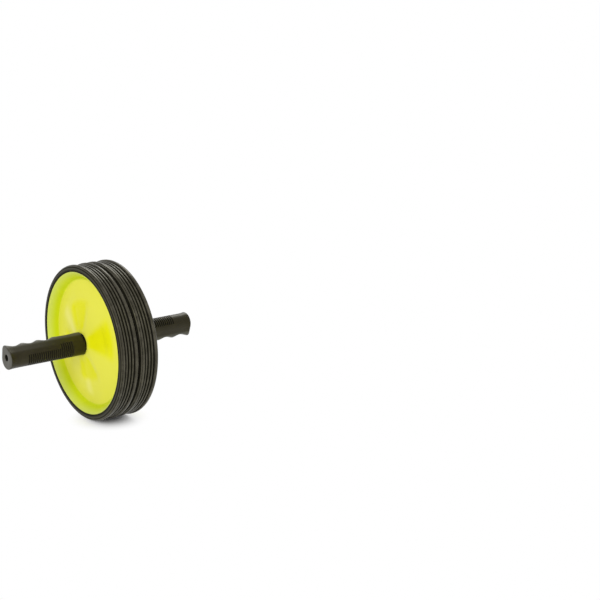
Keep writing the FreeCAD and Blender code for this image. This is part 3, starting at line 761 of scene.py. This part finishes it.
last_ridge = GRIP_END - FINGER_MARGIN - FINGER_COUNT * FINGER_PITCH
hollows = [(GRIP_END - FINGER_MARGIN - (index + 0.5) * FINGER_PITCH, FINGER_WIDTH, FINGER_DEPTH)
           for index in range(FINGER_COUNT)]
hollows.append((last_ridge - REST_LENGTH / 2, REST_LENGTH, REST_DEPTH))
for middle_place, width, depth in hollows:
    pressed_rows = 0
    for place in rows:
        share = abs(place - middle_place) / (width / 2)
        if share < 1:
            floor = -CREST_REACH + depth * (1 - share**2) / (1 - PRESSED)
            pick(grip, lambda middle: abs(middle.y - place) < SAME_PLACE and middle.x < floor)
            bpy.ops.transform.resize(value=(PRESSED, 1, 1), center_override=(floor, place, 0))
            pressed_rows += 1
    print("hollow at", round(middle_place / MM, 1), "from rows:", pressed_rows)
pick(grip, lambda middle: middle.x < -CREST_OFFSET
     and GRIP_START + END_ROW < middle.y < GRIP_END - END_ROW + SAME_PLACE)
bpy.ops.mesh.vertices_smooth(factor=SMOOTH_SHARE, repeat=SMOOTH_PASSES)

# %% [markdown]
# The cross grooves give the palm a hold. A bump in the finish could draw them, but they show in the outline
# of the grip, so they are real: the faces between two rows are sunk along their normals, and a bevel
# softens the edges that this leaves.

# %% Sink the cross grooves on the palm's side
GROOVE_DEPTH = 1.1 * MM
GROOVE_REACH = math.radians(172 / 2)
THUMB_GROOVE_REACH = math.radians(240 / 2)
SKIN = 0.1 * MM


def in_groove(middle):
    """True for a face of the palm that lies in a groove. The palm's side points along +X."""
    if math.hypot(middle.x - PALM_OFFSET, middle.z) < PALM_RADIUS - SKIN:
        return False
    turned = abs(math.atan2(middle.z, middle.x - PALM_OFFSET))
    for index, place in enumerate(grooves):
        if abs(middle.y - place) < GROOVE_WIDTH / 2:
            return turned < (GROOVE_REACH if index < GROOVE_COUNT else THUMB_GROOVE_REACH)
    return False


print("groove faces:", pick(grip, in_groove, "FACE"))
bpy.ops.mesh.extrude_region_shrink_fatten(TRANSFORM_OT_shrink_fatten={"value": -GROOVE_DEPTH})

# %% Soften the edges of the grooves
GROOVE_EDGE = 0.3 * MM
EDGE_STEPS = 2
EDGE_ANGLE = math.radians(50)

bpy.ops.object.mode_set(mode="OBJECT")
soft = grip.modifiers.new("soft_edges", "BEVEL")
soft.width = GROOVE_EDGE
soft.segments = EDGE_STEPS
soft.limit_method = "ANGLE"
soft.angle_limit = EDGE_ANGLE
bpy.ops.object.modifier_apply(modifier=soft.name)
close_mesh(grip)

# %% [markdown]
# The floors of the grooves and the bore are painted dark, as painted shade, and the crest is painted
# pale, as a painted highlight, so the finish has to know where they are. They could be painted on, but
# the mesh already tells: by how deep a point lies under the palm, and by how far out it lies towards the
# crest. What lies deeper than a groove is the bore.

# %% Note the grooves and the crest
# Where the painted light on the crest fades in, measured out towards the crest:
CREST_LIGHT_BAND = (8.6 * MM, 11.4 * MM)
DEEPEST_GROOVE_SHARE = 1.1

points = np.array([vertex.co for vertex in grip.data.vertices])
sunk = (PALM_RADIUS - np.hypot(points[:, 0] - PALM_OFFSET, points[:, 2])) / GROOVE_DEPTH
in_rows = (points[:, 1] > groove_rows[0] - ROW) & (points[:, 1] < groove_rows[-1] + ROW)
in_hole = np.hypot(points[:, 0], points[:, 2]) < VENT_RADIUS + PUSH_FIT
# Painted shade on the groove floors and in the bore, painted light on the crest:
note(grip, "groove", np.clip(sunk, 0, 1) * in_rows * (sunk < DEEPEST_GROOVE_SHARE) + in_hole)
note(grip, "crest", rise(-points[:, 0], *CREST_LIGHT_BAND))

# %% [markdown]
# ## Both sides
# The right tyre, hub and grip are the same pieces turned half round, each with its own turn on the axle. A
# mirror would be quicker, but a real moulding can only be turned. Tyres and hubs ride on their wheel, and
# the grips on the axle. The wheels have slid away from the right grip, so its soft inner end is drawn out
# over most of the gap.

# %% Copy, turn and hand over
SIDES = ("left", "right")
DRAWN_OUT = 2.6 * MM


def draw_out(piece):
    """Lengthens the inner end of a grip towards its wheel."""
    bpy.ops.object.mode_set(mode="EDIT")
    pick(piece, lambda middle: middle.y < GRIP_START + END_ROW / 2)
    bpy.ops.transform.translate(value=(0, -DRAWN_OUT, 0))
    bpy.ops.object.mode_set(mode="OBJECT")


modelled = {}
for kind, piece in {"tyre": tyre, "hub": hub, "grip": grip}.items():
    twin = copy_for_other_side(piece, f"right_{kind}_moulding")
    if kind == "grip":
        draw_out(twin)
    for side, copy in zip(SIDES, (piece, twin)):
        stand(copy, side, kind)
        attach(copy, "axle" if kind == "grip" else f"{side}_wheel")
        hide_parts(f"{side}_{kind}")
        modelled[f"{side}_{kind}"] = copy
print("modelled:", sorted(modelled))

# %% [markdown]
# ## Finishes as sums
# A finish is a small network of shader nodes. It could be wired node by node, but sums are easier to read.
# Signal wraps one output of a node, so that maths on it can be written as a sum, and Finish.node adds any
# other node: first its settings, then what goes into its sockets.

# %% A signal that can be added and multiplied
class Signal:
    """One output of a finish's nodes. Sums with it add Math nodes."""

    def __init__(self, finish, socket):
        self.finish = finish
        self.socket = socket

    def maths(self, operation, *numbers):
        """The result of a Math node with some inputs."""
        return self.finish.node("ShaderNodeMath", {"operation": operation}, dict(enumerate(numbers)))

    def __add__(self, other):
        return self.maths("ADD", self, other)

    def __sub__(self, other):
        return self.maths("SUBTRACT", self, other)

    def __rsub__(self, other):
        return self.maths("SUBTRACT", other, self)

    def __mul__(self, other):
        return self.maths("MULTIPLY", self, other)

    def __pow__(self, other):
        return self.maths("POWER", self, other)

    __radd__ = __add__
    __rmul__ = __mul__


class Finish:
    """A material, its main shader and a way to add nodes to it."""

    def __init__(self, name, **constants):
        self.material = bpy.data.materials.new(name)
        self.material.use_nodes = True
        self.tree = self.material.node_tree
        self.shader = self.tree.nodes["Principled BSDF"]
        self.shade(**constants)

    def feed(self, socket, given):
        """Links a signal to a socket, or sets a plain value on it."""
        if isinstance(given, Signal):
            self.tree.links.new(given.socket, socket)
        else:
            socket.default_value = given

    def node(self, kind, settings=None, sockets=None, output=0):
        """Adds a node and returns one of its outputs."""
        made = self.tree.nodes.new(kind)
        for name, setting in (settings or {}).items():
            setattr(made, name, setting)
        for name, given in (sockets or {}).items():
            self.feed(made.inputs[name], given)
        return Signal(self, made.outputs[output])

    def shade(self, **sockets):
        """Feeds sockets of the main shader, by their names in lower case."""
        for name, given in sockets.items():
            title = name.replace("_", " ").title().replace("Ior", "IOR")
            self.feed(self.shader.inputs[title], given)

# %% [markdown]
# Some patterns come back in several finishes, so each has a short name: the place on the piece, its
# distance from the axle, a number stored on the mesh, cloudy noise, a soft step from 0 to 1, a mix of two
# colours and a bump. Pictures wrapped round the pieces could do the same, but these need no unwrapping.

# %% Patterns
CLOUD_ROUGHNESS = 0.55
CLOUD_DETAIL = 3.0
PLAIN_DETAIL = 2.0


def spot(finish):
    """The point on the piece, in metres, which moves with it."""
    return finish.node("ShaderNodeTexCoord", output="Object")


def split(finish, point):
    """Where a point lies across the axle, along it and upwards."""
    parts = finish.node("ShaderNodeSeparateXYZ", sockets={0: point}).socket.node
    return [Signal(finish, socket) for socket in parts.outputs]


def axle_distance(finish, point):
    """Distance of a point from the axle line."""
    across, _, upwards = split(finish, point)
    return (across * across + upwards * upwards) ** 0.5


def noted(finish, name):
    """A number that was stored on the mesh."""
    return finish.node("ShaderNodeAttribute", {"attribute_name": name}, output="Fac")


def cloud(finish, point, size, detail=CLOUD_DETAIL):
    """Noise from 0 to 1 with features of about a size in metres."""
    sockets = {"Vector": point, "Scale": 1 / size, "Detail": detail, "Roughness": CLOUD_ROUGHNESS}
    return finish.node("ShaderNodeTexNoise", sockets=sockets)


def step(finish, signal, low, high):
    """0 below low, 1 above high and smooth between them."""
    sockets = {"Value": signal, "From Min": low, "From Max": high}
    return finish.node("ShaderNodeMapRange", {"interpolation_type": "SMOOTHSTEP"}, sockets)


def blend(finish, share, first, second):
    """A colour between two colours."""
    sockets = {0: share, 6: first, 7: second}
    return finish.node("ShaderNodeMix", {"data_type": "RGBA"}, sockets, output=2)


def bump(finish, height, distance, strength):
    """A normal that is tilted by a height pattern of a distance in metres."""
    sockets = {"Height": height, "Distance": distance, "Strength": strength}
    return finish.node("ShaderNodeBump", sockets=sockets)


def each_side(*pieces):
    """The names of some pieces, left and right."""
    return [f"{side}_{piece}" for side in SIDES for piece in pieces]


def wear(piece_names, finish):
    """Gives a finish to some pieces, in place of what they came with."""
    for name in piece_names:
        piece = modelled.get(name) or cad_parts[name]
        piece.data.materials.clear()
        piece.data.materials.append(finish.material)
    print(finish.material.name, "on", ", ".join(piece_names))


# %% [markdown]
# ## Tyre rubber
# Black rubber is never quite black: it is a warm dark grey, paler on the crowns of the ribs, which have
# been rolled on. The bottom of the grooves and the ring where it meets the rim are painted black, as
# painted shade, and the middle of the sidewall is painted a little paler, as painted light from above.
# A painted picture could show that too, but the distance from the axle tells these apart without one.
# Each band below is where one of them begins or ends.

# %% Tyre rubber
RUBBER = (0.010, 0.0092, 0.0066, 1)
RUBBER_CROWN = (0.074, 0.068, 0.053, 1)
# Painted shade, for the groove floors and the ring by the rim:
RUBBER_SHADE = (0.002, 0.0018, 0.0013, 1)
RUBBER_SHEEN = (1, 0.95, 0.50, 1)
MOTTLE_SIZE = 9 * MM
MOTTLE_STEP = (0.38, 0.66)
RUBBER_GRAIN = 0.5 * MM
RUBBER_BUMP = 0.05 * MM
CROWN_BAND = (TREAD_FLOOR + 0.9 * MM, TYRE_RADIUS - LOW_RIB_DROP)
GROOVE_BAND = (TREAD_FLOOR + 0.3 * MM, TREAD_FLOOR + 1.4 * MM)
TREAD_BAND = (TREAD_FLOOR - 0.3 * MM, TREAD_FLOOR - 0.1 * MM)
# Where the painted shade by the rim and the painted light on the sidewall's middle fade:
RIM_SHADE_BAND = (RIM_RADIUS + 0.8 * MM, RIM_RADIUS + 3.2 * MM)
SIDEWALL_LIGHT_BAND = (RIM_RADIUS + 2.6 * MM, RIM_RADIUS + 4.4 * MM)

tyre_rubber = Finish("tyre_rubber", specular_ior_level=0.26, specular_tint=RUBBER_SHEEN)
point = spot(tyre_rubber)
radius = axle_distance(tyre_rubber, point)
mottle = cloud(tyre_rubber, point, MOTTLE_SIZE)
grain = cloud(tyre_rubber, point, RUBBER_GRAIN, PLAIN_DETAIL)
crown = step(tyre_rubber, radius, *CROWN_BAND)
groove = 1 - step(tyre_rubber, radius, *GROOVE_BAND)
tread = step(tyre_rubber, radius, *TREAD_BAND)
# Painted shade by the rim, and painted light on the middle of the sidewall:
rim_shade = 1 - step(tyre_rubber, radius, *RIM_SHADE_BAND)
sidewall_light = step(tyre_rubber, radius, *SIDEWALL_LIGHT_BAND) - tread
scuffs = crown * (0.55 + 0.45 * step(tyre_rubber, mottle, *MOTTLE_STEP))
rubber = blend(tyre_rubber, scuffs + 0.35 * sidewall_light, RUBBER, RUBBER_CROWN)
# Painted shade in the groove floors and by the rim.
rubber = blend(tyre_rubber, groove * tread + rim_shade, rubber, RUBBER_SHADE)
tyre_rubber.shade(
    base_color=rubber,
    roughness=0.50 - 0.24 * crown + 0.33 * groove * tread + 0.30 * rim_shade + 0.10 * (grain - 0.5),
    normal=bump(tyre_rubber, grain + 0.6 * mottle, RUBBER_BUMP, strength=0.5),
)
wear(each_side("tyre"), tyre_rubber)

# %% [markdown]
# ## Grip moulding
# The grips are a softer, satin moulding with a fine skin like an orange's. Hands polish it, so broad
# patches are smoother than others. The floors of the grooves and the bore are painted dark, as painted
# shade. The crest and the ends are painted paler, as painted light from above and in front. The grooves
# and the crest are read from the mesh, and the ends are found by their place along the axle.

# %% Grip moulding
GRIP_BLACK = (0.016, 0.0125, 0.0050, 1)
GRIP_POLISHED = (0.022, 0.018, 0.0085, 1)
# Painted shade for the grooves and the bore, then painted light for the crest and the ends:
GRIP_GROOVE_SHADE = (0.003, 0.003, 0.002, 1)
GRIP_PAINTED_LIGHT = (0.085, 0.083, 0.074, 1)
GRIP_SHEEN = (1, 0.97, 0.7, 1)
PATCH_SIZE = 14 * MM
PATCH_STEP = (0.45, 0.7)
GROOVE_STEP = (0.1, 0.8)
GRIP_GRAIN = 0.45 * MM
GRIP_BUMP = 0.04 * MM
END_LIGHT_BAND = (GRIP_END - 0.6 * MM, GRIP_END - 0.1 * MM)

grip_rubber = Finish("grip_rubber", specular_ior_level=0.32, specular_tint=GRIP_SHEEN)
point = spot(grip_rubber)
patches = cloud(grip_rubber, point, PATCH_SIZE)
skin = cloud(grip_rubber, point, GRIP_GRAIN, PLAIN_DETAIL)
# Where the grooves and the bore get painted shade.
sunk = step(grip_rubber, noted(grip_rubber, "groove"), *GROOVE_STEP)
polished = step(grip_rubber, patches, *PATCH_STEP)
moulding = blend(grip_rubber, polished * 0.7, GRIP_BLACK, GRIP_POLISHED)
along = split(grip_rubber, point)[1]
# Painted light on the ends and the crest, as a paler colour.
on_end = step(grip_rubber, along.maths("ABSOLUTE", along), *END_LIGHT_BAND)
painted_pale = on_end.maths("MAXIMUM", on_end, noted(grip_rubber, "crest"))
moulding = blend(grip_rubber, painted_pale * (0.6 + 0.4 * patches), moulding, GRIP_PAINTED_LIGHT)
grip_rubber.shade(
    base_color=blend(grip_rubber, sunk, moulding, GRIP_GROOVE_SHADE),
    roughness=0.38 - 0.08 * polished + 0.12 * (skin - 0.5) + 0.45 * sunk,
    normal=bump(grip_rubber, skin, GRIP_BUMP, strength=0.5),
)
wear(each_side("grip"), grip_rubber)

# %% [markdown]
# ## Lime plastic
# The hubs are satin lime plastic. The fans have the full colour and are a little smoother, and the face
# round them is painted paler, as a painted sheen of white light. The wall of the dish is painted darker
# and greener down to its foot, as painted shade, and paler up to the lip, as a painted highlight. One
# colour with more gloss could pass for it, but would lose the fans in flat light.

# %% Lime plastic
LIME_FAN = (0.75, 0.735, 0.004, 1)
# The face is painted paler than the fans, as a painted sheen:
LIME_FACE_SHEEN = (0.76, 0.74, 0.072, 1)
# Painted shade on the wall of the dish, then a painted highlight at the lip:
LIME_WALL_SHADE = (0.56, 0.65, 0.005, 1)
LIME_LIP_LIGHT = (0.62, 0.69, 0.13, 1)
# Painted highlight:
LIME_HIGHLIGHT = (0.82, 0.79, 0.17, 1)
FLOW_SIZE = 30 * MM
FLOW_STEP = (0.4, 0.7)
PEEL_SIZE = 1.6 * MM
PEEL_BUMP = 0.02 * MM
WALL_SHADE_BAND = (DISH_RADIUS - 2.0 * MM, DISH_RADIUS + 0.5 * MM)
LIP_LIGHT_BAND = (DISH_RADIUS + 1.5 * MM, RIM_RADIUS)

lime_plastic = Finish("lime_plastic", specular_ior_level=0.07)
point = spot(lime_plastic)
radius = axle_distance(lime_plastic, point)
fan = noted(lime_plastic, "fan")
flow = cloud(lime_plastic, point, FLOW_SIZE, PLAIN_DETAIL)
peel = cloud(lime_plastic, point, PEEL_SIZE, PLAIN_DETAIL)
# Painted shade down the wall, painted highlight up at the lip.
wall_shade = step(lime_plastic, radius, *WALL_SHADE_BAND)
lip_light = step(lime_plastic, radius, *LIP_LIGHT_BAND)
# Painted sheen on the face round the fans.
lime = blend(lime_plastic, fan, LIME_FACE_SHEEN, LIME_FAN)
# Painted highlights, as pale patches.
lime = blend(lime_plastic, noted(lime_plastic, "painted_highlight"), lime, LIME_HIGHLIGHT)
lime = blend(lime_plastic, wall_shade, lime, blend(lime_plastic, lip_light, LIME_WALL_SHADE, LIME_LIP_LIGHT))
lime = blend(lime_plastic, 0.10 * step(lime_plastic, flow, *FLOW_STEP), lime, LIME_FAN)
lime_plastic.shade(
    base_color=lime,
    roughness=0.36 - 0.06 * fan + 0.08 * (flow - 0.5) + 0.05 * (peel - 0.5),
    normal=bump(lime_plastic, peel, PEEL_BUMP, strength=0.35),
)
wear(each_side("hub", "hub_cover"), lime_plastic)

# %% [markdown]
# ## Steel, nylon and the spacer
# The pieces inside the wheels stay as the frame has them. Their shapes are right, and they only need their
# finishes: black plated steel, dark spring steel, milky nylon and plain black plastic. Each could have a
# network of its own, but one for metal and one for plastic, with other colours, do for all four.

# %% Inner finishes
PATCHY_STEP = (0.35, 0.75)
PLATING_SIZE = 6 * MM
BRUSH_MARKS = 9000.0  # in a metre
MARK_BUMP = 0.01 * MM
CLOUDY_SIZE = 5 * MM
SKIN_SIZE = 0.4 * MM
SKIN_BUMP = 0.02 * MM
# Each of these has a colour, a darker colour and a roughness.
STEEL = ((0.060, 0.060, 0.063, 1), (0.040, 0.040, 0.043, 1), 0.45)
SPRING = ((0.12, 0.12, 0.125, 1), (0.08, 0.08, 0.085, 1), 0.40)
NYLON = ((0.80, 0.79, 0.74, 1), (0.72, 0.71, 0.66, 1), 0.45)
SPACER = ((0.042, 0.042, 0.042, 1), (0.03, 0.03, 0.03, 1), 0.5)


def make_metal(name, colour, dark, roughness):
    """Steel with fine brush marks round the axle and a cloudy plating."""
    finish = Finish(name, metallic=1.0)
    point = spot(finish)
    along = split(finish, point)[1]
    plating = cloud(finish, point, PLATING_SIZE)
    marks_along = {"W": along * BRUSH_MARKS, "Scale": 1.0}
    marks = finish.node("ShaderNodeTexNoise", {"noise_dimensions": "1D"}, marks_along)
    finish.shade(
        base_color=blend(finish, step(finish, plating, *PATCHY_STEP), colour, dark),
        roughness=roughness + 0.15 * (plating - 0.5) + 0.10 * (marks - 0.5),
        normal=bump(finish, marks, MARK_BUMP, strength=0.3),
    )
    return finish


def make_moulding(name, colour, dark, roughness):
    """Plain moulded plastic with a fine skin."""
    finish = Finish(name)
    point = spot(finish)
    cloudy = cloud(finish, point, CLOUDY_SIZE)
    skin = cloud(finish, point, SKIN_SIZE, PLAIN_DETAIL)
    finish.shade(
        base_color=blend(finish, step(finish, cloudy, *PATCHY_STEP), colour, dark),
        roughness=roughness + 0.12 * (skin - 0.5),
        normal=bump(finish, skin, SKIN_BUMP, strength=0.4),
    )
    return finish


wear(["axle_tube", *each_side("thrust_washer", "hub_screws")], make_metal("plated_steel", *STEEL))
wear(each_side("retaining_ring"), make_metal("spring_steel", *SPRING))
wear(each_side("outer_bush", "inner_bush"), make_moulding("bush_nylon", *NYLON))
wear(["centre_spacer"], make_moulding("spacer_plastic", *SPACER))

# %% [markdown]
# ## Floor and light
# The roller stands on a plain white floor under soft studio light: even white surroundings, a wide lamp
# beside the camera that gives the forms some direction, and one high behind the roller that puts a sheen on
# the ribs. Stronger lamps could bleach the floor to white, but would bleach the hubs too. So a little way
# from the tyres the floor turns into pure white for the camera and for reflections only. It keeps the
# shadow where the tyres stand and lights nothing.

# %% Floor
FLOOR_SIZE = 60.0
FLOOR_WHITE = (0.95, 0.95, 0.945, 1)
WHITE = (1, 1, 1, 1)
SHADOW_REACH = (0.008, 0.052)
SHADOW_LEAN = 0.016

bpy.ops.object.select_all(action="DESELECT")
bpy.ops.mesh.primitive_plane_add(size=FLOOR_SIZE)
floor = bpy.context.object
floor.name = "floor"
bpy.ops.object.mode_set(mode="EDIT")
bpy.ops.transform.translate(value=(0, 0, cad_box[0].z))
bpy.ops.object.mode_set(mode="OBJECT")
floor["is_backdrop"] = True

floor_finish = Finish("floor_white", roughness=0.9, specular_ior_level=0.1, base_color=FLOOR_WHITE)
contact = (SHADOW_LEAN, PAIR_MIDDLE.y, cad_box[0].z)
ends = {0: spot(floor_finish), 1: contact}
away = floor_finish.node("ShaderNodeVectorMath", {"operation": "DISTANCE"}, ends, output="Value")
path = floor_finish.node("ShaderNodeLightPath").socket.node
seen = Signal(floor_finish, path.outputs["Is Camera Ray"])
for ray in ("Is Glossy Ray", "Is Transmission Ray"):
    seen = seen + Signal(floor_finish, path.outputs[ray])
far_off = step(floor_finish, away, *SHADOW_REACH) * seen
glow = floor_finish.node("ShaderNodeEmission", sockets={"Color": WHITE, "Strength": 1.0})
main = Signal(floor_finish, floor_finish.shader.outputs[0])
mixed = floor_finish.node("ShaderNodeMixShader", sockets={0: far_off, 1: main, 2: glow})
output = floor_finish.tree.nodes["Material Output"]
floor_finish.feed(output.inputs["Surface"], mixed)
floor.data.materials.append(floor_finish.material)
print("floor at z in mm:", round(cad_box[0].z / MM, 2))

# %% Surroundings and lamps
FILL = 0.68
LAMPS = {  # place, diameter and power
    "key_lamp": (Vector((1.2, -1.4, 1.0)), 1.2, 18.0),
    "top_lamp": (Vector((-1.15, 0.85, 1.4)), 1.2, 14.0),
}

world = bpy.data.worlds.new("white_studio")
bpy.context.scene.world = world
world.use_nodes = True
nodes, links = world.node_tree.nodes, world.node_tree.links
background = nodes["Background"]
background.inputs["Color"].default_value = WHITE
rays = nodes.new("ShaderNodeLightPath")
shown = nodes.new("ShaderNodeMath")
shown.operation = "ADD"
links.new(rays.outputs["Is Camera Ray"], shown.inputs[0])
links.new(rays.outputs["Is Transmission Ray"], shown.inputs[1])
strength = nodes.new("ShaderNodeMapRange")
strength.inputs["To Min"].default_value = FILL
strength.inputs["To Max"].default_value = 1.0
links.new(shown.outputs[0], strength.inputs["Value"])
links.new(strength.outputs[0], background.inputs["Strength"])

for name, (place, size, power) in LAMPS.items():
    towards_middle = (-place).to_track_quat("-Z", "Y").to_euler()
    bpy.ops.object.light_add(type="AREA", location=place, rotation=towards_middle)
    lamp = bpy.context.object
    lamp.name = name
    lamp.data.shape = "DISK"
    lamp.data.size = size
    lamp.data.energy = power
    print(name, "at", [round(c, 2) for c in place], "power", power)

# %% [markdown]
# ## Size
# Dressing the roller must not make it bigger, so the box of the frame and the box of the dressed roller are
# written side by side.

# %% Compare the boxes
dressed_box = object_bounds()
growth = [b - a for a, b in zip((*cad_box[0], *cad_box[1]), (*dressed_box[0], *dressed_box[1]))]
print("growth in mm:", [round(change / MM, 2) for change in growth])
